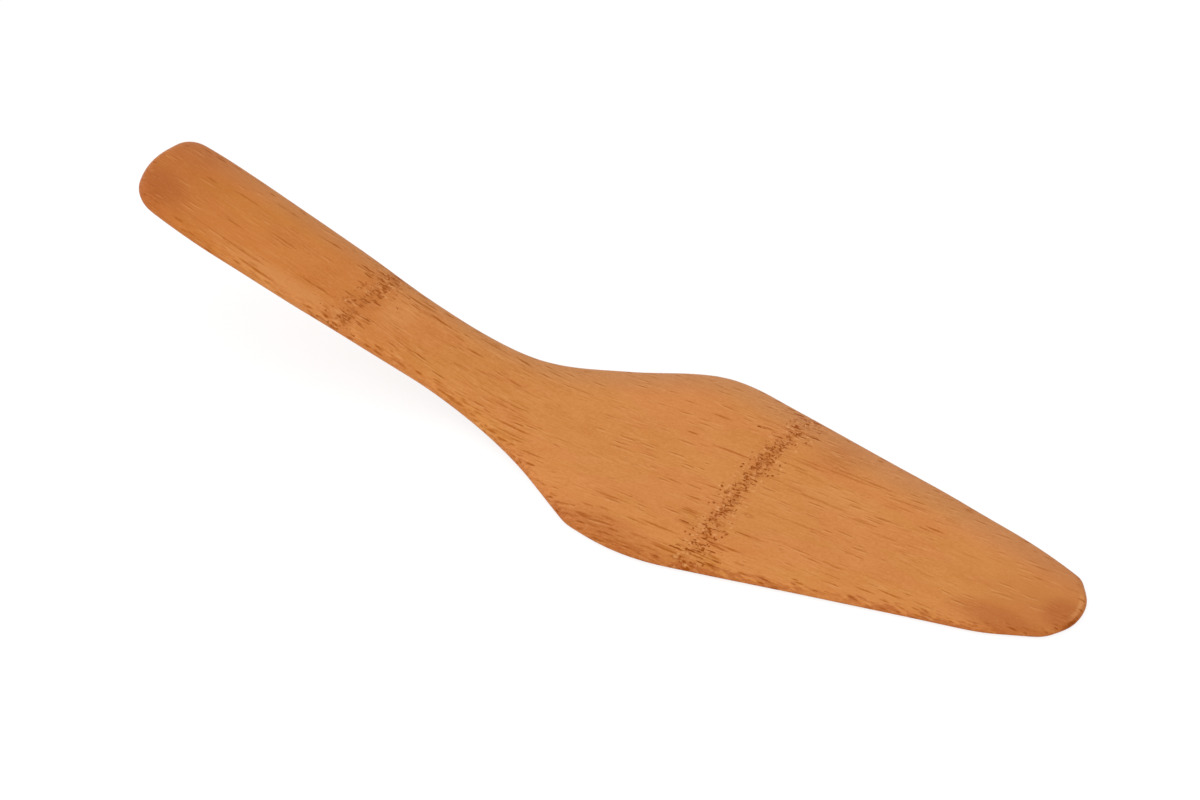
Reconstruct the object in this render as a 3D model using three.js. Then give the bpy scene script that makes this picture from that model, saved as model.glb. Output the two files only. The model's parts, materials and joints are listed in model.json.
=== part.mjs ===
// A cake spatula cut from one slab of carbonised bamboo: a flat kite-shaped blade with a rounded tip,
// and a plain handle that is bent up from it. It is one piece of wood throughout.
// Millimetres. +X runs from the handle's end to the blade's tip, +Y across, +Z up.
// The origin is the middle of the underside of the whole spatula's box.

import * as THREE from 'three';
import { mergeVertices } from 'three/addons/utils/BufferGeometryUtils.js';

const { lerp, clamp, smoothstep, degToRad } = THREE.MathUtils;

// The slab before bending, measured along its underside from the end of the handle
const HANDLE_STRAIGHT = 97;
const BEND_STRETCH = 49;
const BLADE_FLAT = 139.5;
const SLAB_LENGTH = HANDLE_STRAIGHT + BEND_STRETCH + BLADE_FLAT;
const BLADE_START = SLAB_LENGTH - BLADE_FLAT;

// The handle rises from the blade by this angle, in an even arc
const BEND_ANGLE = degToRad(19.2);
const BEND_RADIUS = BEND_STRETCH / BEND_ANGLE;

// Half outline of the slab: where its straight runs meet, and the radius that rounds each corner.
// along is the distance from the end of the handle, out the distance from the middle line.
const HANDLE_END = { along: 0, out: 3.3, round: 24 };
const HANDLE_CORNER = { along: 3, out: 14, round: 7.3 };
const HANDLE_FULLEST = { along: 22, out: 15.6, round: 180 };
const NECK = { along: 117.2, out: 11.8, round: 80 };
const SHOULDER = { along: 163, out: 39.3, round: 47.4 };
const TIP_TAPER = { along: 265.5, out: 17.6, round: 90 };
const TIP_CORNER = { along: SLAB_LENGTH - 5.2, out: 11.7, round: 7 };
const TIP_END = { along: SLAB_LENGTH, out: 4.5, round: 13.5 };
const CORNERS = [HANDLE_END, HANDLE_CORNER, HANDLE_FULLEST, NECK, SHOULDER, TIP_TAPER, TIP_CORNER, TIP_END];

// Thickness in the middle and at the edge, on the handle, at the shoulder and at the tip
const MIDDLE_THICKNESS = { handle: 4.5, shoulder: 4.4, tip: 2.2 };
const EDGE_THICKNESS = { handle: 3.8, shoulder: 2.3, tip: 1.8 };
const THINNING = { from: 112, to: 160 };
const CROWN_REACH = 13;

// The edge is widest a little under half way up, and rolls over onto both faces
const WIDEST_AT = 0.45;
const TOP_ROLL = { handle: 2.4, shoulder: 1.8, tip: 1.6 };
const UNDER_ROLL = { handle: 1.8, shoulder: 1.0, tip: 1.0 };

// Where the spokes from the rounded ends meet on the middle line
const HANDLE_HUB = 12;
const TIP_HUB = SLAB_LENGTH - 11;

// Fineness of the surface
const LONGEST_STEP = 4;
const SHORTEST_STEP = 0.6;
const ARC_STEP = degToRad(9);
const ROLL_STEPS = 4;
const CROWN_STEPS = 5;
const UNDER_STEPS = 2;
const MERGED_WITHIN = 1e-3;

const BAMBOO = { color: 0xcd8549, roughness: 0.5, metalness: 0 };

// A value that holds along the handle, eases over at the neck and tapers from shoulder to tip
function alongSlab(value, along) {
  const intoBlade = smoothstep(along, THINNING.from, THINNING.to);
  const towardsTip = clamp((along - THINNING.to) / (SLAB_LENGTH - THINNING.to), 0, 1);
  return lerp(lerp(value.handle, value.shoulder, intoBlade), value.tip, towardsTip);
}

// Half outline as straight runs joined by arcs, from the middle of one end to the middle of the other
function halfOutline() {
  const path = new THREE.Path();
  const first = new THREE.Vector2(0, 0);
  const last = new THREE.Vector2(SLAB_LENGTH, 0);
  const meeting = [first, ...CORNERS.map((corner) => new THREE.Vector2(corner.along, corner.out)), last];
  path.moveTo(first.x, first.y);
  CORNERS.forEach(({ round }, index) => {
    const [before, corner, after] = meeting.slice(index, index + 3);
    const back = before.clone().sub(corner).normalize();
    const onward = after.clone().sub(corner).normalize();
    const turn = Math.PI - Math.acos(back.dot(onward));
    const trimmed = round * Math.tan(turn / 2);
    const start = corner.clone().addScaledVector(back, trimmed);
    const end = corner.clone().addScaledVector(onward, trimmed);
    const toCentre = back.clone().add(onward).normalize();
    const centre = corner.clone().addScaledVector(toCentre, round / Math.cos(turn / 2));
    const startAngle = start.clone().sub(centre).angle();
    const endAngle = end.clone().sub(centre).angle();
    const clockwise = back.cross(onward) > 0;
    path.lineTo(start.x, start.y);
    path.absarc(centre.x, centre.y, round, startAngle, endAngle, clockwise);
  });
  path.lineTo(last.x, last.y);
  return path;
}

// Points on the outline, evenly spaced on each run and arc, finer where an arc is tight
function outlinePoints(path) {
  const middles = path.curves.flatMap((curve) => {
    const length = curve.getLength();
    const turn = curve.isEllipseCurve ? length / curve.xRadius : 0;
    return curve.getSpacedPoints(Math.max(Math.ceil(length / LONGEST_STEP), Math.ceil(turn / ARC_STEP)));
  });
  const last = middles.pop();
  const points = [middles.shift()];
  for (const point of middles) {
    const gap = Math.min(point.distanceTo(points.at(-1)), point.distanceTo(last));
    if (gap > SHORTEST_STEP) points.push(point);
  }
  return [...points, last];
}

// Unit vectors that point from the outline into the slab
function inwardNormals(points) {
  return points.map((point, index) => {
    if (index === 0) return new THREE.Vector2(1, 0);
    if (index === points.length - 1) return new THREE.Vector2(-1, 0);
    const tangent = points[index + 1].clone().sub(points[index - 1]).normalize();
    return new THREE.Vector2(tangent.y, -tangent.x);
  });
}

// Distance in plan from a point of the slab to its nearest edge
function distanceToEdge(point, outline) {
  const spot = new THREE.Vector3(point.x, point.y, 0);
  const nearest = new THREE.Vector3();
  const run = new THREE.Line3();
  let least = Infinity;
  for (let index = 1; index < outline.length; index += 1) {
    run.start.set(outline[index - 1].x, outline[index - 1].y, 0);
    run.end.set(outline[index].x, outline[index].y, 0);
    run.closestPointToPoint(spot, true, nearest);
    least = Math.min(least, nearest.distanceTo(spot));
  }
  return least;
}

// Quarter round: 0 at the widest line, 1 once the face is reached
function quarterRound(fraction) {
  return Math.sqrt(1 - (1 - Math.min(fraction, 1)) ** 2);
}

function topHeight(along, fromEdge) {
  const edge = alongSlab(EDGE_THICKNESS, along);
  const widest = edge * WIDEST_AT;
  const roll = (edge - widest) * quarterRound(fromEdge / alongSlab(TOP_ROLL, along));
  const inside = Math.min(fromEdge / CROWN_REACH, 1);
  const crown = (alongSlab(MIDDLE_THICKNESS, along) - edge) * (1 - (1 - inside) ** 2);
  return widest + roll + crown;
}

function underHeight(along, fromEdge) {
  const widest = alongSlab(EDGE_THICKNESS, along) * WIDEST_AT;
  return widest * (1 - quarterRound(fromEdge / alongSlab(UNDER_ROLL, along)));
}

// A point of the straight slab, carried to its place on the bent one. The blade's flat starts at x = 0.
function bent(along, across, height) {
  const intoHandle = BLADE_START - along;
  if (intoHandle <= 0) return [-intoHandle, across, height];
  const turned = Math.min(intoHandle / BEND_RADIUS, BEND_ANGLE);
  const beyond = Math.max(intoHandle - BEND_STRETCH, 0);
  const inner = BEND_RADIUS - height;
  const x = -inner * Math.sin(turned) - beyond * Math.cos(turned);
  const z = BEND_RADIUS - inner * Math.cos(turned) + beyond * Math.sin(turned);
  return [x, across, z];
}

// Half of a spoke: along one face from the hub to the roll, then round the roll to the widest line
function spokeOnFace({ edgePoint, inward, outline }, rollWidths, steps, height) {
  const hub = new THREE.Vector2(clamp(edgePoint.x, HANDLE_HUB, TIP_HUB), 0);
  const rollWidth = alongSlab(rollWidths, edgePoint.x);
  const rollStart = edgePoint.clone().addScaledVector(inward, rollWidth);
  const points = [];
  for (let step = 0; step < steps; step += 1) {
    const towardsEdge = 1 - (1 - step / steps) ** 1.6;
    const spot = hub.clone().lerp(rollStart, towardsEdge);
    points.push([spot.x, spot.y, height(spot.x, distanceToEdge(spot, outline))]);
  }
  for (let step = 0; step <= ROLL_STEPS; step += 1) {
    const fromEdge = rollWidth * (1 - Math.sin((step / ROLL_STEPS) * (Math.PI / 2)));
    const spot = edgePoint.clone().addScaledVector(inward, fromEdge);
    points.push([spot.x, spot.y, height(spot.x, fromEdge)]);
  }
  return points;
}

// A whole spoke: out on the underside, round the edge and back over the top
function spoke(place) {
  const under = spokeOnFace(place, UNDER_ROLL, UNDER_STEPS, underHeight);
  const top = spokeOnFace(place, TOP_ROLL, CROWN_STEPS, topHeight);
  return [...under, ...top.reverse().slice(1)];
}

// The closed surface: the spokes of one half and their mirror images, joined in strips
function slabGeometry() {
  const outline = outlinePoints(halfOutline());
  const normals = inwardNormals(outline);
  const spokes = outline.map((edgePoint, index) => spoke({ edgePoint, inward: normals[index], outline }));
  const positions = [];
  for (const side of [1, -1]) {
    for (const points of spokes) {
      for (const [along, across, height] of points) positions.push(...bent(along, side * across, height));
    }
  }
  const perSpoke = spokes[0].length;
  const perSide = perSpoke * spokes.length;
  const faces = [];
  for (let side = 0; side < 2; side += 1) {
    for (let index = 1; index < spokes.length; index += 1) {
      for (let step = 1; step < perSpoke; step += 1) {
        const near = side * perSide + (index - 1) * perSpoke + step;
        const far = near + perSpoke;
        if (side === 0) faces.push(near - 1, near, far, near - 1, far, far - 1);
        else faces.push(near - 1, far, near, near - 1, far - 1, far);
      }
    }
  }
  const grid = new THREE.BufferGeometry();
  grid.setAttribute('position', new THREE.Float32BufferAttribute(positions, 3));
  grid.setIndex(faces);
  return withoutSlivers(mergeVertices(grid, MERGED_WITHIN));
}

// Drops the triangles that closed up where spokes share a hub
function withoutSlivers(geometry) {
  const index = geometry.getIndex();
  const kept = [];
  for (let at = 0; at < index.count; at += 3) {
    const [a, b, c] = [index.getX(at), index.getX(at + 1), index.getX(at + 2)];
    if (a !== b && b !== c && c !== a) kept.push(a, b, c);
  }
  geometry.setIndex(kept);
  geometry.computeVertexNormals();
  return geometry;
}

function spatulaBody() {
  const body = new THREE.Mesh(slabGeometry(), new THREE.MeshStandardMaterial(BAMBOO));
  body.name = 'spatula_body';
  body.geometry.computeBoundingBox();
  const { min, max } = body.geometry.boundingBox;
  body.position.set(-(min.x + max.x) / 2, 0, -min.z);
  return body;
}

const spatula = new THREE.Group();
spatula.add(spatulaBody());

export default spatula;
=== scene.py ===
# %% [markdown]
# # A bamboo cake spatula
#
# This lesson builds the looks of one kitchen tool: a cake spatula cut from a single slab of
# carbonised bamboo. It has a flat kite-shaped blade with a blunt rounded tip, and a plain handle that
# is bent up from the blade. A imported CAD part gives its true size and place. We model a finer copy of
# that part the way a maker would: draw the outline, cut the slab, round its edges, plane its faces and
# bend the handle. Then we give it the finish of oiled bamboo, with its fibres and its two nodes.

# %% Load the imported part
import json
import math

import bmesh
import bpy
import numpy as np
from mathutils import Matrix, Vector

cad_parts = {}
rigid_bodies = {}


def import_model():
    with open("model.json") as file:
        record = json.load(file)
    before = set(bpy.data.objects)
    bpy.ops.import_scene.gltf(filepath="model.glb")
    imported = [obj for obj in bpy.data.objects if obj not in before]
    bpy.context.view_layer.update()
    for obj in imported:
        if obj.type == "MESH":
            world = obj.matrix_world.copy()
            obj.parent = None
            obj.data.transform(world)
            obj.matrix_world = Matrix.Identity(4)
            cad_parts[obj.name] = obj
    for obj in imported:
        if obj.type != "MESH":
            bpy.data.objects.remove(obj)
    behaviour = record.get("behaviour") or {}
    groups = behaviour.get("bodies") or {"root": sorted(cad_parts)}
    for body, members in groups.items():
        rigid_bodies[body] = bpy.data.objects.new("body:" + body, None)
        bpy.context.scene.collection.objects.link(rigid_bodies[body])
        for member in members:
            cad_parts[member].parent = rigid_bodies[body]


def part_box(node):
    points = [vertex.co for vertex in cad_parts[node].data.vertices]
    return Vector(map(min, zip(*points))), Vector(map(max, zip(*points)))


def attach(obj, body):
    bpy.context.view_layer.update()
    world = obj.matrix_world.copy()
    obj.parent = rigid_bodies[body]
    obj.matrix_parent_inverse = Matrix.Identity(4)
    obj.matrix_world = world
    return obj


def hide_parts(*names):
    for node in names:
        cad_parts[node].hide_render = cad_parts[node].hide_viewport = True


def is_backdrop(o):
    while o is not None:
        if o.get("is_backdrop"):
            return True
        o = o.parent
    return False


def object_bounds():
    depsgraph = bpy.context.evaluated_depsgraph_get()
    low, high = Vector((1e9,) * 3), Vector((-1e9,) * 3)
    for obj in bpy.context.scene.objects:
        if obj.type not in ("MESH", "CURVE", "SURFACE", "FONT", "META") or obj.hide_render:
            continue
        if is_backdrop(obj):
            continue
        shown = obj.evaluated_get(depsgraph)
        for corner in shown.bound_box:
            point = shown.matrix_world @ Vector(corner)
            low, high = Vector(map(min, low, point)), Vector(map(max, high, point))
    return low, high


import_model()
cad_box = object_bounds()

body_low, body_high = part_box("spatula_body")
print("packed body:", [round(float(high - low) * 1000, 1) for low, high in zip(body_low, body_high)], "mm")

# %% [markdown]
# ## The measures of the slab
#
# All measures are millimetres on the straight slab, before it is bent. `along` runs from the end of the
# handle to the tip, and `out` is the distance from the middle line. Blender works in metres, so
# each measure is turned into metres where it is used. The blade's tip lies at the end of the packed
# part's box, and that tells us where the slab has to end up.

# %% Measures
MM = 0.001

HANDLE_STRAIGHT = 97.0
BEND_STRETCH = 49.0
BLADE_FLAT = 139.5
SLAB_LENGTH = HANDLE_STRAIGHT + BEND_STRETCH + BLADE_FLAT
BLADE_START = SLAB_LENGTH - BLADE_FLAT
BEND_ANGLE = math.radians(19.2)

# Where straight runs of the outline meet: along and out, then the corner's radius on the far side and
# on the near side
CORNERS = {
    "handle end": (0.0, 3.3, 19.8, 17.5),
    "handle corner": (3.1, 14.1, 7.2, 9.6),
    "handle fullest": (22.0, 15.5, 222.0, 167.0),
    "neck": (117.4, 11.9, 82.0, 80.0),
    "shoulder": (153.1, 33.4, 50.0, 14.0),
    "widest": (171.3, 37.6, 41.0, 53.0),
    "tip taper": (265.4, 17.6, 121.0, 49.0),
    "tip corner": (SLAB_LENGTH - 5.2, 11.7, 5.7, 9.0),
    "tip end": (SLAB_LENGTH, 4.4, 11.8, 11.8),
}

# Thickness on the handle, at the shoulder and at the tip
MIDDLE_THICKNESS = (4.5, 4.4, 2.2)
EDGE_THICKNESS = (3.8, 2.3, 1.8)
TOP_ROLL = (2.4, 1.8, 1.6)
UNDER_ROLL = (1.8, 1.0, 1.0)
THINNING_FROM, THINNING_TO = 112.0, 160.0
CROWN_REACH = 13.0
WIDEST_AT = 0.45

# What planing and sanding take off, so the slab is cut this much larger all round
PLANING_DEPTH = 0.16

blade_start_x = body_high[0] - BLADE_FLAT * MM
print("blade's flat starts at x =", round(float(blade_start_x) * 1000, 2), "mm")

# %% [markdown]
# ## The camera
#
# The photograph looks down on the spatula from a little to the right of its blade, with a long lens.
# The camera's height angle, turn and distance were found by laying the drawn outline over the
# photographed one. A long lens means little perspective: the lens is worked out from how many pixels
# a millimetre of the blade takes up.

# %% Camera
PHOTO_WIDTH = 1200
SENSOR_WIDTH = 36.0
CAMERA_HEIGHT_ANGLE = math.radians(42.25)
CAMERA_TURN = math.radians(-28.57)
CAMERA_DISTANCE = 1150.0
PIXELS_PER_MM = 3.7467
AIM_RIGHT, AIM_UP = -0.46, 10.72

camera_right = Vector((math.cos(CAMERA_TURN), -math.sin(CAMERA_TURN), 0.0))
camera_ahead = Vector((math.sin(CAMERA_TURN), math.cos(CAMERA_TURN), 0.0))
camera_back = Vector((0, 0, math.sin(CAMERA_HEIGHT_ANGLE))) - camera_ahead * math.cos(CAMERA_HEIGHT_ANGLE)
camera_up = camera_back.cross(camera_right)

camera_data = bpy.data.cameras.new("photo_camera")
camera_data.sensor_width = SENSOR_WIDTH
camera_data.lens = PIXELS_PER_MM * CAMERA_DISTANCE / PHOTO_WIDTH * SENSOR_WIDTH
camera_data.clip_end = 50.0
camera = bpy.data.objects.new("photo_camera", camera_data)
bpy.context.scene.collection.objects.link(camera)
aim = camera_right * AIM_RIGHT + camera_up * AIM_UP + camera_back * CAMERA_DISTANCE
turn_matrix = Matrix((camera_right, camera_up, camera_back)).transposed().to_4x4()
camera.matrix_world = Matrix.Translation(aim * MM + Vector((blade_start_x, 0, 0))) @ turn_matrix
bpy.context.scene.camera = camera
print("lens:", round(camera_data.lens, 1), "mm")

# %% [markdown]
# ## Drawing the outline
#
# The outline is straight runs joined by arcs, so it can be drawn as with a ruler and a compass. A plane
# merged to one point is the pencil. Extruding the point draws a straight run, and the Spin
# tool swings it round a centre to draw an arc. A Mirror modifier would make both sides alike, but the
# real ones were rounded by hand: the near shoulder is tighter and the far one softer. So each side is
# drawn from the handle's end to the tip with its own radii, in the same number of steps, because a grid
# will join opposite points. The pencil starts a little outside the handle's end and stays that far
# outside all round: planing takes it off again.

# %% Pencil, ruler and compass
LONGEST_STEP = 4.0
ARC_STEP = math.radians(9)


def start_piece(name, primitive, **settings):
    bpy.ops.object.select_all(action="DESELECT")
    primitive(**settings)
    piece = bpy.context.object
    piece.name = name
    piece.data.name = name
    return piece


def select_where(piece, kind, test):
    """Leaves only the vertices, edges or faces selected that pass the test."""
    bpy.ops.mesh.select_mode(type=kind)
    bpy.ops.mesh.select_all(action="DESELECT")
    mesh = bmesh.from_edit_mesh(piece.data)
    for element in {"VERT": mesh.verts, "EDGE": mesh.edges, "FACE": mesh.faces}[kind]:
        if test(element):
            element.select_set(True)
    bmesh.update_edit_mesh(piece.data)


def draw_run(run, steps):
    for _ in range(steps):
        bpy.ops.mesh.extrude_region_move(TRANSFORM_OT_translate={"value": run / steps})


def draw_arc(centre, turn, steps):
    bpy.ops.mesh.spin(steps=steps, angle=turn, center=centre, axis=(0, 0, 1), dupli=False)


print("steps of at most", LONGEST_STEP, "mm")

# %% Plan both halves
def plan_half(side):
    """The runs and arcs of one half, and the last run to the tip. The far side is 1, the near side -1."""
    corners = [Vector((along, side * out, 0)) * MM for along, out, _, _ in CORNERS.values()]
    radii = [(far if side > 0 else near) * MM for _, _, far, near in CORNERS.values()]
    meeting = [Vector((0, 0, 0)), *corners, Vector((SLAB_LENGTH * MM, 0, 0))]
    strokes = []
    arc_end = meeting[0]
    for before, corner, after, radius in zip(meeting, meeting[1:], meeting[2:], radii):
        back = (before - corner).normalized()
        onward = (after - corner).normalized()
        turn = math.pi - back.angle(onward)
        trimmed = radius * math.tan(turn / 2)
        centre = corner + (back + onward).normalized() * (radius / math.cos(turn / 2))
        signed_turn = math.copysign(turn, back.cross(onward).z)
        strokes.append((corner + back * trimmed - arc_end, centre, signed_turn, radius))
        arc_end = corner + onward * trimmed
    return strokes, meeting[-1] - arc_end


def steps_for(lengths, turns):
    """Enough steps for the longer of the two sides."""
    return math.ceil(max(max(lengths) / (LONGEST_STEP * MM), max(turns) / ARC_STEP))


far_half, near_half = plan_half(1), plan_half(-1)
shared_steps = []
for both_sides in zip(far_half[0], near_half[0]):
    runs = [run.length for run, _, _, _ in both_sides]
    turns = [abs(turn) for _, _, turn, _ in both_sides]
    arcs = [abs(turn) * radius for _, _, turn, radius in both_sides]
    shared_steps.append((steps_for(runs, [0]), steps_for(arcs, turns)))
print("steps of each run and arc:", shared_steps)

# %% Draw the outline
SAME_POINT = 0.1 * MM

bamboo_spatula = start_piece("bamboo_spatula", bpy.ops.mesh.primitive_plane_add, size=MM)
bpy.ops.object.mode_set(mode="EDIT")
bpy.ops.mesh.select_mode(type="VERT")
bpy.ops.mesh.select_all(action="SELECT")
bpy.ops.mesh.merge(type="CENTER")
start = Vector((-PLANING_DEPTH * MM, 0, 0))
bpy.ops.transform.translate(value=start)

for strokes, last_run in (far_half, near_half):
    select_where(bamboo_spatula, "VERT", lambda vertex: (vertex.co - start).length < SAME_POINT)
    for (run, centre, turn, _), (run_steps, arc_steps) in zip(strokes, shared_steps):
        draw_run(run, run_steps)
        draw_arc(centre, turn, arc_steps)
    draw_run(last_run, 1)

bpy.ops.mesh.select_all(action="SELECT")
bpy.ops.mesh.remove_doubles(threshold=SAME_POINT)
print("outline:", len(bmesh.from_edit_mesh(bamboo_spatula.data).verts), "points")

# %% [markdown]
# ## The wobble of a hand-cut edge
#
# Ruler and compass give an edge that is too perfect. The real one was cut along a line by hand and sanded,
# so it swings in and out by a few tenths of a millimetre, most on the far side of the neck.
# Proportional editing is made for this: one point is moved, and its neighbours follow it less and
# less, up to a set reach.

# %% Nudge the outline (along the slab: how far outwards, in mm)
NUDGE_REACH = 20.0
FAR_NUDGES = {10: 0.16, 30: -0.2, 62: 0.2, 81: -0.3, 101: 0.41, 121: -0.6, 135: 0.35, 148: -1.15, 160: 0.64,
              172: -0.1, 183: -0.27, 233: 0.3, 260: -0.08}
NEAR_NUDGES = {55: 0.17, 95: -0.1, 140: -0.15, 154: 0.08, 192: 0.11, 261: 0.2}

for side, nudges in ((1, FAR_NUDGES), (-1, NEAR_NUDGES)):
    for nudge_at, outwards in nudges.items():
        points = bmesh.from_edit_mesh(bamboo_spatula.data).verts
        of_side = [point for point in points if side * point.co.y > 0]
        nearest = min(of_side, key=lambda point: abs(point.co.x - nudge_at * MM)).index
        select_where(bamboo_spatula, "VERT", lambda vertex: vertex.index == nearest)
        bpy.ops.transform.translate(value=(0, side * outwards * MM, 0), use_proportional_edit=True,
                                    proportional_edit_falloff="SMOOTH", proportional_size=NUDGE_REACH * MM)
print(len(FAR_NUDGES) + len(NEAR_NUDGES), "nudges")

# %% Fill the outline
bpy.ops.object.mode_set(mode="OBJECT")
outline_points = [vertex.co.copy() for vertex in bamboo_spatula.data.vertices]
outline_runs = [tuple(edge.vertices) for edge in bamboo_spatula.data.edges]
bpy.ops.object.mode_set(mode="EDIT")
bpy.ops.mesh.select_all(action="SELECT")
bpy.ops.mesh.edge_face_add()
print("filled with one face")

# %% [markdown]
# ## Cutting the slab
#
# The filled outline is extruded to a thin plate. Then each of its two big faces is inset several times,
# which lays rings round the edge, close together where it will roll over, so that the roll follows the
# outline evenly round both ends. What is left in the middle of each face is filled with a grid, because
# a bent and crowned face needs points inside it, in tidy rows of quads.

# %% Plate, rings and grids
RIM_BAND = 0.3
RING_DISTANCES = (0.2, 0.7, 1.5, 2.6, 4.4)
HALF_OF_AN_END = 8

bpy.ops.mesh.select_mode(type="FACE")
bpy.ops.mesh.select_all(action="SELECT")
bpy.ops.mesh.extrude_region_move(TRANSFORM_OT_translate={"value": (0, 0, RIM_BAND * MM)})


def long_sides(piece):
    """The open edges along both sides, without the ones round the handle's end and the tip."""
    chosen = set()
    open_edges = [edge for edge in bmesh.from_edit_mesh(piece.data).edges if edge.is_boundary]
    for side in (1, -1):
        of_side = [edge for edge in open_edges if side * (edge.verts[0].co.y + edge.verts[1].co.y) > 0]
        of_side.sort(key=lambda edge: edge.verts[0].co.x + edge.verts[1].co.x)
        chosen.update(edge.index for edge in of_side[HALF_OF_AN_END:-HALF_OF_AN_END])
    return chosen


for up in (1, -1):
    select_where(bamboo_spatula, "FACE", lambda face: len(face.verts) > 4 and face.normal.z * up > 0)
    for inner, outer in zip(RING_DISTANCES, (0.0, *RING_DISTANCES)):
        bpy.ops.mesh.inset(thickness=(inner - outer) * MM, depth=0, use_even_offset=True)
    bpy.ops.mesh.delete(type="ONLY_FACE")
    chosen_edges = long_sides(bamboo_spatula)
    select_where(bamboo_spatula, "EDGE", lambda edge: edge.index in chosen_edges)
    bpy.ops.mesh.fill_grid(use_interp_simple=True)

bpy.ops.mesh.select_all(action="SELECT")
bpy.ops.mesh.normals_make_consistent(inside=False)
bpy.ops.object.mode_set(mode="OBJECT")
print("plate:", len(bamboo_spatula.data.polygons), "quads")

# %% [markdown]
# ## Planing the faces and rolling the edges
#
# The handle is almost even in thickness. The blade is thick along its middle and thin at its edges and
# its tip, so that it slides under a slice. Both faces roll over at the edge in a quarter round. All of this
# depends only on how far along the slab a point is and how far from the edge, so a formula gives each
# point its height. We store it as a weight, as one would paint by hand, and a Displace modifier lifts
# the plate by it. Proportional editing could do the same by eye, but not evenly along both sides.

# %% Height of each face
def along_slab(value, along):
    """Holds on the handle, eases over at the neck and tapers from the shoulder to the tip."""
    handle, shoulder, tip = value
    eased = np.clip((along - THINNING_FROM) / (THINNING_TO - THINNING_FROM), 0, 1)
    eased = eased * eased * (3 - 2 * eased)
    tapered = np.clip((along - THINNING_TO) / (SLAB_LENGTH - THINNING_TO), 0, 1)
    before_taper = handle + (shoulder - handle) * eased
    return before_taper + (tip - before_taper) * tapered


def quarter_round(fraction):
    return np.sqrt(1 - (1 - np.clip(fraction, 0, 1)) ** 2)


def top_height(along, from_edge):
    edge = along_slab(EDGE_THICKNESS, along)
    widest = edge * WIDEST_AT
    roll = (edge - widest) * quarter_round(from_edge / along_slab(TOP_ROLL, along))
    inside = np.clip(from_edge / CROWN_REACH, 0, 1)
    crown = (along_slab(MIDDLE_THICKNESS, along) - edge) * (1 - (1 - inside) ** 2)
    return np.maximum(widest + roll + crown, widest + RIM_BAND / 2)


def under_height(along, from_edge):
    widest = along_slab(EDGE_THICKNESS, along) * WIDEST_AT
    height = widest * (1 - quarter_round(from_edge / along_slab(UNDER_ROLL, along)))
    return np.minimum(height, widest - RIM_BAND / 2)


print("middle of the handle:", round(float(top_height(HANDLE_STRAIGHT / 2, CROWN_REACH)), 2), "mm thick")

# %% Distance from the edge
def vertex_places(piece):
    places = np.empty(len(piece.data.vertices) * 3)
    piece.data.vertices.foreach_get("co", places)
    return places.reshape(-1, 3)


def distance_from_edge(places):
    """Distance in plan, in mm, from each place to the nearest run of the outline."""
    points = np.array(outline_points)[:, :2]
    starts, ends = (points[[run[end] for run in outline_runs]] for end in (0, 1))
    runs = ends - starts
    to_place = places[:, None, :2] - starts[None]
    share = np.clip((to_place * runs).sum(-1) / (runs * runs).sum(-1), 0, 1)
    return np.linalg.norm(to_place - share[..., None] * runs, axis=-1).min(axis=1) / MM


places = vertex_places(bamboo_spatula)
from_edge = distance_from_edge(places)
print("farthest from the edge:", round(float(from_edge.max()), 1), "mm")

# %% Paint the heights and lift the plate
THICKEST = 5.0


def apply_modifier(piece, kind, **settings):
    modifier = piece.modifiers.new(kind.lower(), kind)
    for name, value in settings.items():
        setattr(modifier, name, value)
    bpy.ops.object.modifier_apply(modifier=modifier.name)


along = places[:, 0] / MM
start_height = places[:, 2] / MM
on_top = start_height > RIM_BAND / 2
final_height = np.where(on_top, top_height(along, from_edge), under_height(along, from_edge))

heights = bamboo_spatula.vertex_groups.new(name="planed_height")
for index, lift in enumerate(final_height - start_height):
    heights.add([index], float(lift / THICKEST), "REPLACE")
apply_modifier(bamboo_spatula, "DISPLACE", direction="Z", strength=THICKEST * MM, mid_level=0,
               vertex_group=heights.name)

edge_values = bamboo_spatula.data.attributes.new("from_edge", "FLOAT", "POINT")
edge_values.data.foreach_set("value", from_edge)
print("thickest:", round(float(final_height.max()), 2), "mm")

# %% [markdown]
# ## Smoothing, and the marks of the hand
#
# Two levels of Subdivision Surface turn the quads into a smooth skin with about a millimetre between
# points. A planed and sanded slab is never quite flat, and that shows as slow changes in its sheen,
# so a Displace modifier with a soft cloud pattern moves the skin inwards by up to the thickness of thick
# paper, because planing only takes wood away. A bump map could fake that, but the real unevenness is in
# the shape.

# %% Smooth and soften
PLANING_WAVE = 26.0

apply_modifier(bamboo_spatula, "SUBSURF", levels=2, render_levels=2)
planing = bpy.data.textures.new("planing", "CLOUDS")
planing.noise_scale = PLANING_WAVE * MM
planing.noise_depth = 1
apply_modifier(bamboo_spatula, "DISPLACE", texture=planing, texture_coords="LOCAL", direction="NORMAL",
               strength=PLANING_DEPTH * MM, mid_level=1)
print("smoothed:", len(bamboo_spatula.data.polygons), "quads")

# %% [markdown]
# ## Remembering where the fibres run
#
# Bamboo fibres run straight along the slab, and when the handle is bent they bend with it. So the finish
# must read a point's place in the straight slab, not in space. We store it now, in millimetres, as an
# attribute that stays with each point when the slab is bent. A UV map holds only two numbers, and we
# want three, so that the pattern runs through the material like real fibres: dashes on the faces, dots
# on the cut ends.

# %% Store the place in the slab
slab_place = bamboo_spatula.data.attributes.new("slab_place", "FLOAT_VECTOR", "POINT")
slab_place.data.foreach_set("vector", (vertex_places(bamboo_spatula) / MM).ravel())
print("stored", len(slab_place.data), "places")

# %% [markdown]
# ## Bending the handle
#
# The real slab is softened with heat and bent over a form, so the bend is an even arc with the handle
# straight beyond it. Simple Deform does just that: it bends between two limits and carries the rest along
# straight. It bends round the Z axis of a helper object, so an empty is stood where the
# blade's flat starts, lying on its side.

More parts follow.
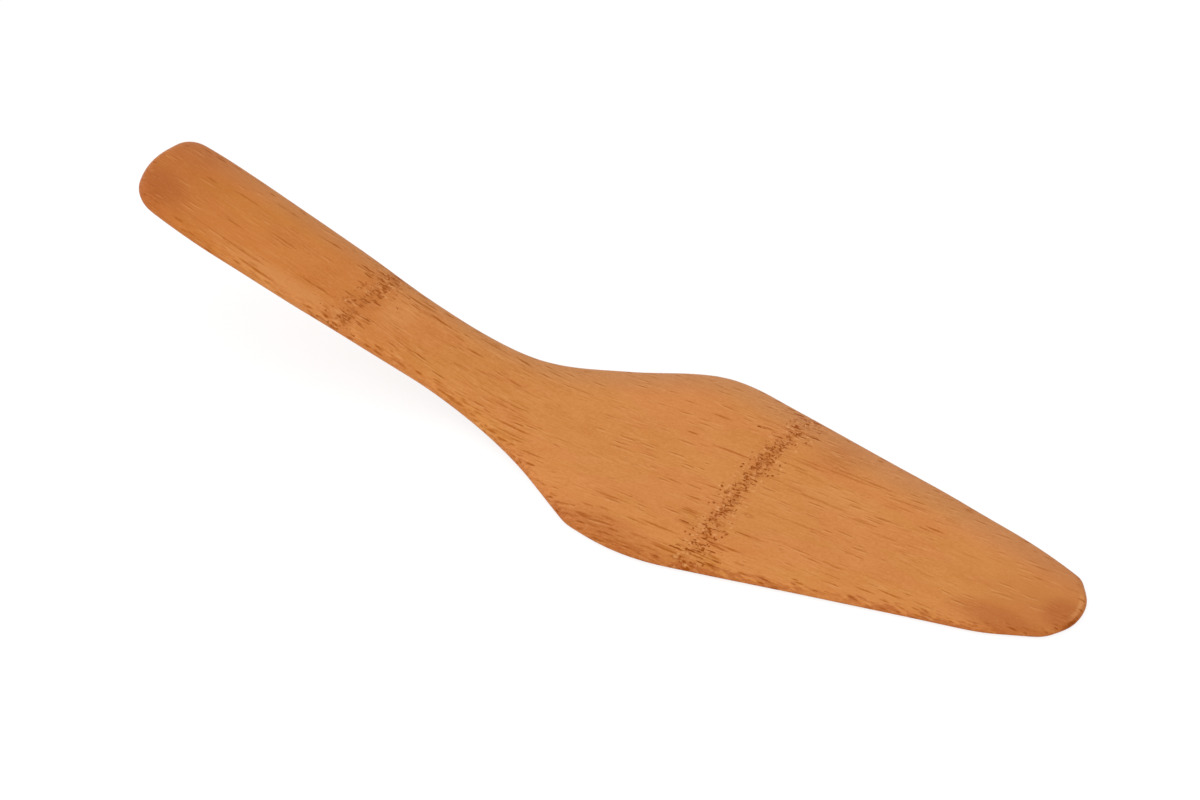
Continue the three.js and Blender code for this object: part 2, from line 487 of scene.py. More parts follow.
# %% Bend
bpy.ops.object.empty_add(location=(BLADE_START * MM, 0, 0), rotation=(math.pi / 2, 0, 0))
bending_form = bpy.context.object
bpy.ops.object.select_all(action="DESELECT")
bamboo_spatula.select_set(True)
bpy.context.view_layer.objects.active = bamboo_spatula
slab_x = vertex_places(bamboo_spatula)[:, 0] / MM
bend_limits = [float(end - slab_x.min()) / float(np.ptp(slab_x)) for end in (HANDLE_STRAIGHT, BLADE_START)]
apply_modifier(bamboo_spatula, "SIMPLE_DEFORM", deform_method="BEND", deform_axis="Z", origin=bending_form,
               angle=BEND_ANGLE, limits=bend_limits)
bpy.data.objects.remove(bending_form)

bamboo_spatula.location.x = blade_start_x - BLADE_START * MM
bpy.ops.object.transform_apply(location=True, rotation=True, scale=True)
bpy.ops.object.shade_smooth()
places = vertex_places(bamboo_spatula)
print("bent:", (places.max(axis=0) - places.min(axis=0)).round(4) / MM, "mm, lowest", places[:, 2].min() / MM)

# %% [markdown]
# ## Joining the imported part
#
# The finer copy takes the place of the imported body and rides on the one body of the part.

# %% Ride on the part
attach(bamboo_spatula, "root")
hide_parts("spatula_body")

# %% [markdown]
# ## Helpers for the node trees
#
# A finish is a tree of nodes. Small helpers keep the cells below short: they add a node, do a sum, fade
# from one value to another, blend two colours, or lay down noise in lumps of a given size. Effects that
# are used again and again are built as node groups, with named sockets.

# %% Add a node
def fill_sockets(tree, node, sockets):
    """A socket's value is either a plain value or another node's output."""
    for name, value in sockets.items():
        if isinstance(value, bpy.types.NodeSocket):
            tree.links.new(value, node.inputs[name])
        else:
            node.inputs[name].default_value = value


def add_node(tree, kind, sockets=None, **settings):
    node = tree.nodes.new("ShaderNode" + kind)
    for name, value in settings.items():
        setattr(node, name, value)
    fill_sockets(tree, node, sockets or {})
    return node


print("nodes can be added")

# %% Sums, fades and blends
def reckon(tree, operation, *values):
    return add_node(tree, "Math", dict(enumerate(values)), operation=operation).outputs[0]


def reckon_vector(tree, operation, *values):
    return add_node(tree, "VectorMath", dict(enumerate(values)), operation=operation).outputs[0]


def times(tree, first, *others):
    """The product of all the values."""
    for other in others:
        first = reckon(tree, "MULTIPLY", first, other)
    return first


def add_share(tree, base, value, weight):
    """The base plus the value times its weight."""
    return reckon(tree, "MULTIPLY_ADD", value, weight, base)


def strongest(tree, first, *others):
    """The largest of the values, which is how marks that overlap are joined."""
    for other in others:
        first = reckon(tree, "MAXIMUM", first, other)
    return first


def fade(tree, value, start, end, low=0.0, high=1.0):
    """Goes smoothly from low to high as the value goes from start to end."""
    limits = {"Value": value, "From Min": start, "From Max": end, "To Min": low, "To Max": high}
    return add_node(tree, "MapRange", limits, interpolation_type="SMOOTHSTEP").outputs[0]


def within(tree, value, one_slope, other_slope):
    """Full between two slopes, each from where it starts to where it is full."""
    return times(tree, fade(tree, value, *one_slope), fade(tree, value, *other_slope))


def blend_colour(tree, amount, below, above, way="MIX"):
    sockets = {0: amount, 6: below, 7: above}
    return add_node(tree, "Mix", sockets, data_type="RGBA", blend_type=way).outputs[2]


print("sums and fades ready")

# %% Noise in millimetres
def noise(tree, place, size, detail):
    stretched = reckon_vector(tree, "DIVIDE", place, size)
    return add_node(tree, "TexNoise", {"Vector": stretched, "Scale": 1.0, "Detail": detail}).outputs


def cloud(tree, place, size, detail=2.0):
    """Noise whose lumps have the given size in mm along, across and through the slab."""
    return noise(tree, place, size, detail)["Fac"]


def shaken(tree, place, size, amount):
    """The place moved about by up to half the amount in mm, by noise of the given size."""
    centred = reckon_vector(tree, "SUBTRACT", noise(tree, place, size, 1.0)["Color"], (0.5, 0.5, 0.5))
    return reckon_vector(tree, "MULTIPLY_ADD", centred, amount, place)


print("noise ready")

# %% Groups and colours
def new_group(name, inputs, outputs):
    group = bpy.data.node_groups.new(name, "ShaderNodeTree")
    for socket_name, kind in inputs.items():
        group.interface.new_socket(socket_name, in_out="INPUT", socket_type="NodeSocket" + kind)
    for socket_name in outputs:
        group.interface.new_socket(socket_name, in_out="OUTPUT", socket_type="NodeSocketFloat")
    return group, group.nodes.new("NodeGroupInput").outputs, group.nodes.new("NodeGroupOutput").inputs


def place_group(tree, group, sockets):
    node = tree.nodes.new("ShaderNodeGroup")
    node.node_tree = group
    fill_sockets(tree, node, sockets)
    return node.outputs


def linear(red, green, blue):
    """A colour as read off a screen, 0 to 255, turned into the light values that shaders use."""
    shares = [channel / 255 for channel in (red, green, blue)]
    return (*(s / 12.92 if s <= 0.04045 else ((s + 0.055) / 1.055) ** 2.4 for s in shares), 1.0)


print("mid grey on a screen is", round(linear(128, 128, 128)[0], 3), "of full light")

# %% [markdown]
# ## Fibre dashes
#
# Bamboo has no year rings. It is made of thin dark fibre bundles in a paler pith, all running along the
# stem. Planing cuts them at a slight slant, so they show as short dashes with pointed ends. A Voronoi
# texture scatters one point in each cell. With its space drawn in along the slab, the rings round
# those points become dashes, and each cell's own random colour says whether its dash shows, how broad
# it is and how strong. A stretched noise would do too, but its streaks have no clear ends.

# %% Fibre dash group
NARROWEST_DASH = 0.5
DASH_CORE = 0.35
WEAKEST_DASH = 0.35

fibre_dashes, given, result = new_group(
    "fibre_dashes", {"Place": "Vector", "Cell": "Vector", "Share": "Float", "Breadth": "Float"}, ["Mask"])
in_cells = reckon_vector(fibre_dashes, "DIVIDE", given["Place"], given["Cell"])
cells = add_node(fibre_dashes, "TexVoronoi", {"Vector": in_cells, "Scale": 1.0}).outputs
chance = add_node(fibre_dashes, "SeparateColor", {"Color": cells["Color"]}).outputs
breadth_share = fade(fibre_dashes, chance["Green"], 0.0, 1.0, NARROWEST_DASH, 1.0)
breadth = times(fibre_dashes, given["Breadth"], breadth_share)
dash = fade(fibre_dashes, cells["Distance"], breadth, times(fibre_dashes, breadth, DASH_CORE))
shown = reckon(fibre_dashes, "LESS_THAN", chance["Red"], given["Share"])
strength = fade(fibre_dashes, chance["Blue"], 0.0, 1.0, WEAKEST_DASH, 1.0)
fibre_dashes.links.new(times(fibre_dashes, dash, shown, strength), result["Mask"])
print("fibre dashes:", len(fibre_dashes.nodes), "nodes")


# %% Place fibre dashes
def dashes(tree, place, length, pitch, share, breadth):
    """Dashes in cells of the given length along the slab and pitch across and through it, in mm."""
    cell = (length, pitch, pitch)
    if isinstance(length, bpy.types.NodeSocket):
        cell = add_node(tree, "CombineXYZ", {"X": length, "Y": pitch, "Z": pitch}).outputs[0]
    sockets = {"Place": place, "Cell": cell, "Share": share, "Breadth": breadth}
    return place_group(tree, fibre_dashes, sockets)["Mask"]


print("dashes can be placed")

# %% [markdown]
# ## A soft spot
#
# Some slow changes of colour sit at known places. In the middle of the slab they are the wood's own: brown
# where the steam went in deeper, pale where it went in less, and both ends are browner. Along the near side
# they are painted light: painted shade on the blade's near side, and a painted highlight on the handle's near
# side. Each is an ellipse round a named place, full in the middle and gone at its rim. The group divides the
# way from the middle by the ellipse's reach, and what is left is 1 long on the rim.
# Spots could be painted on instead, but named places are easier to compare with the photograph.

# %% Soft spot group
FULL_WITHIN = 0.3

soft_spot, given, result = new_group(
    "soft_spot", {"Place": "Vector", "Middle": "Vector", "Reach": "Vector"}, ["Mask"])
from_middle = reckon_vector(soft_spot, "SUBTRACT", given["Place"], given["Middle"])
share_of_reach = reckon_vector(soft_spot, "DIVIDE", from_middle, given["Reach"])
how_far = add_node(soft_spot, "VectorMath", {0: share_of_reach}, operation="LENGTH").outputs["Value"]
soft_spot.links.new(fade(soft_spot, how_far, 1.0, FULL_WITHIN), result["Mask"])
print("soft spot:", len(soft_spot.nodes), "nodes")

# %% [markdown]
# ## A node of the stem
#
# Where a leaf once grew, the stem has a ring, and the slab shows it as a band across. The fibres turn and
# cross there, so the saw cuts them end on: the band is a swarm of short dark specks, with pale ones between
# that are painted glints, where the edges of the pits catch the light. Single dots stand a few millimetres
# off on both sides, most on the handle's side, and streaks trail away like the teeth of a comb, most near the
# edges of the slab. Where the slab was cut closer to the stem's skin, the specks are longer.
#
# The line across is never straight, so the group bends one by a lean, a bow and a slow wave. Dashes of
# several sizes then show at different distances from it. Copying speck by speck would take thousands
# of nodes.

# %% The line across the slab
LINE_WAVE = 4.0
LINE_WAVE_SIZE = (40, 9, 40)

band, given, result = new_group(
    "stem_node", {"Place": "Vector", "Centre": "Float", "Lean": "Float", "Bow": "Float",
                  "Crowd At": "Float", "Speck Length": "Float", "Trail Share": "Float"},
    ["Dark", "Glint", "Band"])
parts = add_node(band, "SeparateXYZ", {"Vector": given["Place"]}).outputs
leaning = add_share(band, given["Centre"], parts["Y"], given["Lean"])
bowed = add_share(band, leaning, times(band, parts["Y"], parts["Y"]), given["Bow"])
wave = reckon(band, "SUBTRACT", cloud(band, given["Place"], LINE_WAVE_SIZE), 0.5)
line = add_share(band, bowed, wave, LINE_WAVE)
past_line = reckon(band, "SUBTRACT", parts["X"], line)
off_line = reckon(band, "ABSOLUTE", past_line)
print("line across the slab:", len(band.nodes), "nodes")

# %% Where the specks are: none at the first distance from the line in mm, all at the second
SPECK_REACH = (3.2, 1.2)
CORE_REACH = (2.4, 0.8)
CROWD_REACH = (8.0, 2.0)
CROWDING = 0.14

to_crowd = reckon(band, "ABSOLUTE", reckon(band, "SUBTRACT", parts["Y"], given["Crowd At"]))
clumps = reckon(band, "ADD", cloud(band, given["Place"], (3.2, 2.0, 3.2), 3.0),
                fade(band, to_crowd, *CROWD_REACH, 0.0, CROWDING))
towards_sides = fade(band, reckon(band, "ABSOLUTE", parts["Y"]), 12, 26)
calmer_there = add_share(band, 1.0, towards_sides, -0.5)
in_clumps = times(band, fade(band, clumps, 0.38, 0.52), calmer_there)
speck_share = times(band, fade(band, off_line, *SPECK_REACH), in_clumps)
core_share = times(band, fade(band, off_line, *CORE_REACH), in_clumps)
print("specks within", SPECK_REACH[0], "mm of the line")

# %% Specks, in places shaken out of the straight rows of cells
CORE_SHIFT = (13.1, 7.4, 2.2)

shaken_place = shaken(band, given["Place"], (1.3, 1.0, 1.3), (1.1, 0.6, 0.6))
core_place = reckon_vector(band, "ADD", shaken_place, CORE_SHIFT)
long_share = times(band, speck_share, add_share(band, 0.25, towards_sides, 0.55))
specks = dashes(band, shaken_place, given["Speck Length"], 0.72, speck_share, 0.75)
core_specks = dashes(band, core_place, 1.1, 0.65, core_share, 0.7)
long_specks = dashes(band, shaken_place, 3.2, 0.75, long_share, 0.6)
print("three sizes of specks")

# %% Strokes that cross the specks at a slant, where these are short
shaken_parts = add_node(band, "SeparateXYZ", {"Vector": shaken_place}).outputs
slanted_place = add_node(band, "CombineXYZ", {
    "X": add_share(band, shaken_parts["X"], shaken_parts["Y"], 0.5),
    "Y": times(band, shaken_parts["Y"], 0.5), "Z": shaken_parts["Z"]}).outputs[0]
where_short = fade(band, given["Speck Length"], 2.5, 1.5, 0.0, 0.6)
strokes = dashes(band, slanted_place, 0.75, 0.75, times(band, speck_share, where_short), 0.8)
print("slanted strokes")

# %% Trails like a comb, and single dots
TRAIL_REACH = (10.0, 1.5)
DOT_FRINGE = ((5.4, 4.6), (2.6, 3.4))

share_there = add_share(band, given["Trail Share"], towards_sides, 0.8)
trail_share = times(band, fade(band, off_line, *TRAIL_REACH), share_there)
trails = times(band, dashes(band, shaken_place, 6.5, 0.85, trail_share, 0.5),
               add_share(band, 0.5, share_there, 0.3))
more_before = fade(band, past_line, 1.0, -1.0, 0.35, 0.75)
dot_share = times(band, within(band, off_line, *DOT_FRINGE), more_before)
dots = times(band, dashes(band, shaken_place, 1.1, 1.3, dot_share, 0.55), 0.65)
print("trails within", TRAIL_REACH[0], "mm of the line, dots within", DOT_FRINGE[0][0], "mm")

# %% What the stem node puts out
DARK_GAIN = 1.6
GLINT_REACH = (6.0, 2.0)
GLINT_SHIFT = (31.7, 12.3, 5.1)
BAND_REACH = (6.0, 1.0)

dark = strongest(band, specks, core_specks, long_specks, strokes, trails, dots)
dark = reckon(band, "MINIMUM", times(band, dark, DARK_GAIN), 1.0)
band.links.new(dark, result["Dark"])
# Glint: pale specks of painted highlight beside the dark ones, where the pits' edges catch the light
glint_place = reckon_vector(band, "ADD", shaken_place, GLINT_SHIFT)
glint_length = times(band, given["Speck Length"], 1.2)
glint_share = fade(band, off_line, *GLINT_REACH, 0.0, 0.8)
band.links.new(dashes(band, glint_place, glint_length, 0.8, glint_share, 0.7), result["Glint"])
band.links.new(fade(band, off_line, *BAND_REACH), result["Band"])
print("stem node:", len(band.nodes), "nodes")

# %% [markdown]
# ## Oiled, carbonised bamboo
#
# Steaming bamboo under pressure turns its sugars brown: that is what carbonised means. Oil then deepens
# the colour and leaves a satin surface. The tree builds this up as a painter would, from the ground to
# the finest marks: slow clouds of colour, spots and edges, grain and dashes, single streaks, the two
# stem nodes, and then the sheen. It reads the stored place in the slab, so everything follows the
# bend. An image of real bamboo laid over the top would be quicker, but it would smear down the edges and
# repeat on the underside.

# %% Colours, as read off a screen
BLADE_HONEY = linear(214, 139, 74)
BLADE_AMBER = linear(209, 132, 67)
HANDLE_HONEY = linear(207, 128, 59)
HANDLE_AMBER = linear(202, 121, 53)
ROSE = linear(218, 133, 82)
STRAW = linear(203, 140, 62)
# painted sheen for the far side
SHEEN_TAN = linear(191, 131, 86)
# Russet and node brown also serve as painted shade, and pith as painted highlight, at the places marked below
RUSSET_AND_SHADE = linear(177, 95, 44)
PITH_AND_HIGHLIGHT = linear(232, 166, 106)
NODE_BROWN_AND_SHADE = linear(152, 72, 2)
FIBRE_SHADE = (0.65, 0.452, 0.115, 1.0)
WARM_GLEAM = (1.0, 0.6, 0.3, 1.0)
print("honey:", [round(light, 3) for light in BLADE_HONEY[:3]])

# %% Start the material
bamboo = bpy.data.materials.new("carbonised_bamboo")
bamboo.use_nodes = True
tree = bamboo.node_tree
principled = tree.nodes["Principled BSDF"]
slab_vector = add_node(tree, "Attribute", attribute_name="slab_place").outputs["Vector"]
edge_distance = add_node(tree, "Attribute", attribute_name="from_edge").outputs["Fac"]
slab_parts = add_node(tree, "SeparateXYZ", {"Vector": slab_vector}).outputs
print("reading slab_place and from_edge")

# %% Fibres wander a little
WANDER = 2.2
WANDER_SIZE = (38, 9, 9)
SHAKE = (0.0, 0.5, 0.5)
SHAKE_SIZE = (4.0, 2.0, 2.0)

wander = reckon(tree, "SUBTRACT", cloud(tree, slab_vector, WANDER_SIZE, 1.0), 0.5)
wandering_y = add_share(tree, slab_parts["Y"], wander, WANDER)
wandering = {"X": slab_parts["X"], "Y": wandering_y, "Z": slab_parts["Z"]}
fibre_place = shaken(tree, add_node(tree, "CombineXYZ", wandering).outputs[0], SHAKE_SIZE, SHAKE)
print("fibres wander by up to", WANDER / 2, "mm")

# %% Slow clouds of colour
ROSY_SHARE = 0.15

cloudiness = fade(tree, cloud(tree, slab_vector, (15, 7, 7), 3.0), 0.3, 0.7)
blade_ground = blend_colour(tree, cloudiness, BLADE_AMBER, BLADE_HONEY)
handle_ground = blend_colour(tree, cloudiness, HANDLE_AMBER, HANDLE_HONEY)
on_handle = fade(tree, slab_parts["X"], 112, 45)
ground = blend_colour(tree, on_handle, blade_ground, handle_ground)
rosiness = fade(tree, cloud(tree, slab_vector, (26, 8, 8), 1.0), 0.38, 0.62)
ground = blend_colour(tree, ROSY_SHARE, ground, blend_colour(tree, rosiness, STRAW, ROSE))
print("honey to amber")

# %% Painted sheen on the far side, and browner ends
# The far side is paler and greyer: painted sheen, where the rolled edge turns away and reflects the bright
# surroundings
far_side_sheen = times(tree, fade(tree, edge_distance, 14, 1), fade(tree, slab_parts["Y"], 3, 12), 0.6)
ground = blend_colour(tree, far_side_sheen, ground, SHEEN_TAN)
at_handle_end = fade(tree, slab_parts["X"], 34, 2, 0.0, 0.5)
at_tip = times(tree, fade(tree, slab_parts["X"], 250, 282, 0.0, 0.45),
               fade(tree, slab_parts["Y"], 10, -4, 0.4, 1.0))
ground = blend_colour(tree, strongest(tree, at_handle_end, at_tip), ground, RUSSET_AND_SHADE)
print("tan far side, browner ends")

# %% Browner and paler spots, some of them painted shade and painted highlight (along, across, half length, half width, strength)
SPOT_HEIGHT = 2.0
SPOT_HALF_DEPTH = 12.0
BROWN_AND_SHADED = {
    "handle's end": (6, -8, 13, 9.5, 0.6),
    "handle's middle": (40, 3, 20, 4, 0.15),
    "handle's far corner": (8, 9, 12, 8, 0.2),
    # Painted shade: the near shoulder and the near edge by the node are darker where the blade's near side
    # turns away from the light
    "near shoulder": (161, -36, 26, 12, 0.5),
    "near edge by the node": (192, -37, 28, 8, 0.4),
    "far side by the node": (205, 21, 12, 10, 0.25),
    # Painted shade as well, on the near side before the tip
    "near side before the tip": (267, -12.5, 17, 6, 0.5),
    "tip": (281.5, -3, 7.5, 7.5, 0.6),
}
PALE_AND_HIGHLIT = {
    # Painted highlight: the handle's near side is paler where its rolled edge catches the front lamp
    "handle's near side": (52, -12.5, 32, 5.5, 0.3),
    "past the handle's node": (80, 1, 7, 12, 0.22),
    "middle of the blade": (213, 5, 14, 8, 0.15),
}


def spot(along_at, across_at, half_length, half_width, strength):
    sockets = {"Place": slab_vector, "Middle": (along_at, across_at, SPOT_HEIGHT),
               "Reach": (half_length, half_width, SPOT_HALF_DEPTH)}
    return times(tree, place_group(tree, soft_spot, sockets)["Mask"], strength)


for spots, colour in ((BROWN_AND_SHADED, RUSSET_AND_SHADE), (PALE_AND_HIGHLIT, PITH_AND_HIGHLIGHT)):
    for placed in spots.values():
        ground = blend_colour(tree, spot(*placed), ground, colour)
print(len(BROWN_AND_SHADED), "browner spots,", len(PALE_AND_HIGHLIT), "paler ones")

# %% [markdown]
# ### Edges
#
# Steam goes in further where the slab is thin, so the edges are browner, with a ragged inner border and paler
# gaps. Along the near side of the blade the brown is stronger: there it is painted shade as well, where the
# edges turn away from the light. A distance from the edge alone would give an even stripe, so a noise is
# added to it first. The tip's rim carries painted shade on its near side, and a painted highlight on the
# rounded rim just inside its edge.

# %% Ragged brown edges, with painted shade on the near side
RAGGED_BY = 9.0
BROWN_UP_TO = (6.3, 4.9)

raggedness = cloud(tree, slab_vector, (3.5, 1.0, 1.0), 3.0)
ragged_distance = add_share(tree, edge_distance, raggedness, RAGGED_BY)
with_gaps = fade(tree, cloud(tree, slab_vector, (11, 5, 5)), 0.34, 0.55, 0.35, 1.0)
# Painted shade: the near side of the blade, whose edges turn away from the light, gets the most brown
shade_on_near_side = fade(tree, slab_parts["Y"], 4, -4, 0.25, 0.75)
more_on_blade = fade(tree, slab_parts["X"], 115, 155, 0.35, 1.0)
brown_edge_and_shade = fade(tree, ragged_distance, *BROWN_UP_TO)
brown_edge_and_shade = times(tree, brown_edge_and_shade, with_gaps, shade_on_near_side, more_on_blade)
ground = blend_colour(tree, brown_edge_and_shade, ground, RUSSET_AND_SHADE)
print("ragged brown edges")

# %% The tip's rim: painted shade and a painted highlight
RIM_SHADE_SPOT = (285.3, -5.5, 3.0, 4.5, 0.9)
RIM_HIGHLIGHT_SPOT = (284.0, 1.5, 5.0, 7.0, 0.4)

# Painted shade on the near side of the rim, where it turns away from the light
rim_shade = times(tree, spot(*RIM_SHADE_SPOT), fade(tree, edge_distance, 1.1, 0.5))
ground = blend_colour(tree, rim_shade, ground, NODE_BROWN_AND_SHADE)
# Painted highlight on the rounded rim just inside the edge, where it catches the light
rim_highlight = times(tree, spot(*RIM_HIGHLIGHT_SPOT), within(tree, edge_distance, (0.4, 1.1), (2.4, 1.3)))
ground = blend_colour(tree, rim_highlight, ground, PITH_AND_HIGHLIGHT)
print("tip scorched and worn")

# %% [markdown]
# ### Grain, pores and dashes
#
# Seen close, the wood is combed along its fibres by fine dark and pale lines, with open pores between them. A
# noise drawn out along the slab gives the lines, and one with short lumps gives the pores. Over them lie the
# fibre dashes, in clusters. Each small dash has a pale lip beside it, a painted highlight where the cut
# fibre's wall catches the light: the same dashes again, moved aside by half a millimetre. Dark marks multiply
# the colour below them, as a stain does, so its clouds still show through. Towards both ends, where hands and
# sanding have closed the wood, the grain is weaker.

# %% Where the grain is strong
combed = fade(tree, cloud(tree, slab_vector, (13, 5, 6)), 0.42, 0.60)
smooth_ends = within(tree, slab_parts["X"], (15, 80, 0.45, 1.0), (280, 240, 0.4, 1.0))
at_neck = within(tree, slab_parts["X"], (72, 84), (138, 122))
by_shoulder = spot(161, -33, 26, 12, 0.5)
print("strong in clusters and at the neck")

# %% Fine lines and pores
DARK_LINES, PALE_LINES = (0.50, 0.72, 0.0, 0.32), (0.46, 0.28, 0.0, 0.30)
DARK_PORES, PALE_PORES = (0.52, 0.74, 0.0, 0.26), (0.48, 0.28, 0.0, 0.22)

fine_grain = cloud(tree, fibre_place, (4.5, 0.45, 0.8), 3.0)
pores = cloud(tree, fibre_place, (0.9, 0.42, 0.6))
line_strength = times(tree, smooth_ends, add_share(tree, add_share(tree, 0.5, combed, 0.6), at_neck, 0.3))
for line_fade, pore_fade, colour, way in ((DARK_LINES, DARK_PORES, FIBRE_SHADE, "MULTIPLY"),
                                          (PALE_LINES, PALE_PORES, PITH_AND_HIGHLIGHT, "MIX")):
    line_marks = times(tree, fade(tree, fine_grain, *line_fade), line_strength)
    pore_marks = times(tree, fade(tree, pores, *pore_fade), smooth_ends)
    ground = blend_colour(tree, strongest(tree, line_marks, pore_marks), ground, colour, way)
print("lines and pores")

# %% Dashes in clusters, and more along the edges
SMALL_DASH = (8.0, 0.85)
LONG_DASH = (20.0, 1.1)
EDGE_DASH = (4.5, 0.9)
LIP_OFFSET = 0.5

cluster_share = add_share(tree, add_share(tree, 0.08, combed, 0.75), at_neck, 0.15)
cluster_share = reckon(tree, "ADD", cluster_share, by_shoulder)
small_dashes = dashes(tree, fibre_place, *SMALL_DASH, cluster_share, 0.48)
long_dashes = dashes(tree, fibre_place, *LONG_DASH, times(tree, cluster_share, 0.35), 0.42)
dash_strength = add_share(tree, times(tree, smooth_ends, 0.62), at_neck, 0.25)
dash_strength = add_share(tree, dash_strength, by_shoulder, 0.3)
edge_share = fade(tree, edge_distance, 4.5, 1.0, 0.0, 0.6)
edge_dashes = dashes(tree, fibre_place, *EDGE_DASH, edge_share, 0.55)
dash_fibres = times(tree, strongest(tree, long_dashes, small_dashes), dash_strength)
dash_fibres = strongest(tree, dash_fibres, edge_dashes)

# Painted highlight: pale lips beside the small dashes
lip_place = reckon_vector(tree, "ADD", fibre_place, (0.0, LIP_OFFSET, 0.0))
lip_highlights = times(tree, dashes(tree, lip_place, *SMALL_DASH, cluster_share, 0.5), 0.3)
ground = blend_colour(tree, lip_highlights, ground, PITH_AND_HIGHLIGHT)
print("three sizes of dashes")

# %% [markdown]
# ### Single streaks
#
# Some streaks catch the eye, and they sit where they sit, so each is given by its place. A streak is a
# long thin ellipse, and an ellipse is a circle in a space that is drawn in by its half length and half
# width: there, one Distance node measures it. Streaks of one length share that space, which keeps each
# down to three small nodes. Size matters: a material that outgrows the renderer's stack comes out black.
# Streaks could be painted on, but the mesh is too coarse for lines under a millimetre wide.

# %% Streaks by half length: along, across and strength
STREAK_HALF_WIDTH = 0.5
STREAK_DEPTH = 3.0
STREAK_HEIGHT = 3.6
STREAKS = {
    2.5: [(16.5, 4.1, 0.6), (17, -13.3, 0.7), (23, -15.7, 1), (150.5, -29, 0.6), (156.5, -27.2, 0.52),
          (157.5, -34.3, 0.75), (157.5, -30.6, 0.75), (161, -26.5, 0.52), (168, 9.6, 0.8),
          (186.5, -19.3, 0.9), (189, -25.7, 0.8), (190.5, 21.3, 0.9), (192.5, -19.2, 0.8),
          (192.5, 22.4, 0.9), (192.5, 24.8, 0.9), (200.5, -31.9, 0.6), (201, -26.8, 0.7)],
    4: [(53.5, 8.8, 0.8), (103, 4.3, 0.8), (117.5, 2.2, 0.8), (153.5, -31.2, 0.6), (157, -30.2, 0.8),
        (160.5, -32.2, 0.6), (164, -29.1, 0.52), (165, -33.5, 0.75), (167.5, -35.4, 0.68),
        (172, -26.4, 0.45), (172, 19.3, 0.7), (174, -30.7, 0.6), (178, -32.9, 0.45), (180, -11.5, 0.7),
        (181, -17, 0.8), (181.3, -16.3, 0.6), (181.5, -17.8, 0.5), (182, -21.2, 0.55), (184.5, 21.4, 0.7),
        (188, -33.2, 0.7), (188.5, -22.4, 0.9), (190.5, -30.1, 0.9), (192, -29.1, 0.9), (193.5, -28, 0.9),
        (193.5, -24.4, 1), (194, -31.2, 0.8), (194, -28.3, 0.85), (198.5, 11.6, 0.6), (201, 10.7, 0.45),
        (226.5, 10.2, 0.45), (233.5, -19.9, 0.9), (237.5, 7.2, 0.55), (240, 8.3, 0.8), (245, -7.4, 0.4),
        (252, 4.2, 0.4), (271.5, 5.5, 0.6)],
    6: [(27, 5.4, 0.65), (29, -4.1, 0.6), (38, 10.2, 0.6), (120, -6.8, 0.7), (134, -17.5, 0.7),
        (134, 10, 0.6), (170, -34.4, 0.6), (184, 24.4, 0.45), (196, -23.4, 0.85), (199, -17.4, 0.85),
        (200.5, 15.1, 0.45), (201.5, 13.8, 0.55), (228, 5.3, 0.5), (229, 11.4, 0.5), (229, 14, 0.6),
        (229.5, -0.4, 0.45), (240, -18, 0.9), (270, 9.2, 0.6)],
    8.5: [(42, -13, 0.8), (58, -6.5, 0.7), (90, 6.9, 0.9), (122, -5, 0.7), (125, -12, 0.9),
          (177, -25.5, 0.7), (181, 8.3, 0.8), (183, -31.5, 0.9)],
    12: [(35, -10.4, 0.8), (209, -7.2, 0.42), (209, 3.2, 0.7), (212, 15.3, 0.5), (214, 16.6, 0.5)],
}
print(sum(len(placed) for placed in STREAKS.values()), "single streaks")

# %% Place the streaks
streaks = 0.0
for half_length, placed in STREAKS.items():
    reach = (half_length, STREAK_HALF_WIDTH, STREAK_DEPTH)
    drawn_in = reckon_vector(tree, "DIVIDE", fibre_place, reach)
    for along_at, across_at, strength in placed:
        middle = tuple(at / size for at, size in zip((along_at, across_at, STREAK_HEIGHT), reach))
        away = add_node(tree, "VectorMath", {0: drawn_in, 1: middle}, operation="DISTANCE").outputs["Value"]
        streaks = strongest(tree, fade(tree, away, 1.0, FULL_WITHIN, 0.0, strength), streaks)
broken = fade(tree, cloud(tree, slab_vector, (3.0, 0.9, 0.9)), 0.28, 0.55, 0.4, 1.0)
fibres = strongest(tree, dash_fibres, times(tree, streaks, broken))
surface = blend_colour(tree, fibres, ground, FIBRE_SHADE, "MULTIPLY")
print(len(STREAKS), "lengths of streaks")

# %% The two stem nodes, and how strongly each of their masks shows
BLADE_NODE = {"Centre": 189.2, "Lean": 0.06, "Bow": 0.0022, "Crowd At": 11.0,
              "Speck Length": 1.4, "Trail Share": 0.3}
HANDLE_NODE = {"Centre": 70.6, "Lean": 0.18, "Bow": 0.0, "Crowd At": 6.5,
               "Speck Length": 2.8, "Trail Share": 1.5}
ON_BLADE = {"Band": 0.2, "Glint": 0.7, "Dark": 1.0}
ON_HANDLE = {"Band": 0.28, "Glint": 0.55, "Dark": 0.82}

node_marks = 0.0
for measures, strengths in ((BLADE_NODE, ON_BLADE), (HANDLE_NODE, ON_HANDLE)):
    masks = place_group(tree, band, {"Place": slab_vector, **measures})
    shown = {name: times(tree, masks[name], strengths[name]) for name in strengths}
    surface = blend_colour(tree, shown["Band"], surface, RUSSET_AND_SHADE)
    # painted glints beside the node's dark specks
    surface = blend_colour(tree, shown["Glint"], surface, PITH_AND_HIGHLIGHT)
    surface = blend_colour(tree, shown["Dark"], surface, NODE_BROWN_AND_SHADE)
    node_marks = strongest(tree, shown["Dark"], node_marks)
tree.links.new(surface, principled.inputs["Base Color"])
print("stem nodes at", BLADE_NODE["Centre"], "and", HANDLE_NODE["Centre"], "mm")

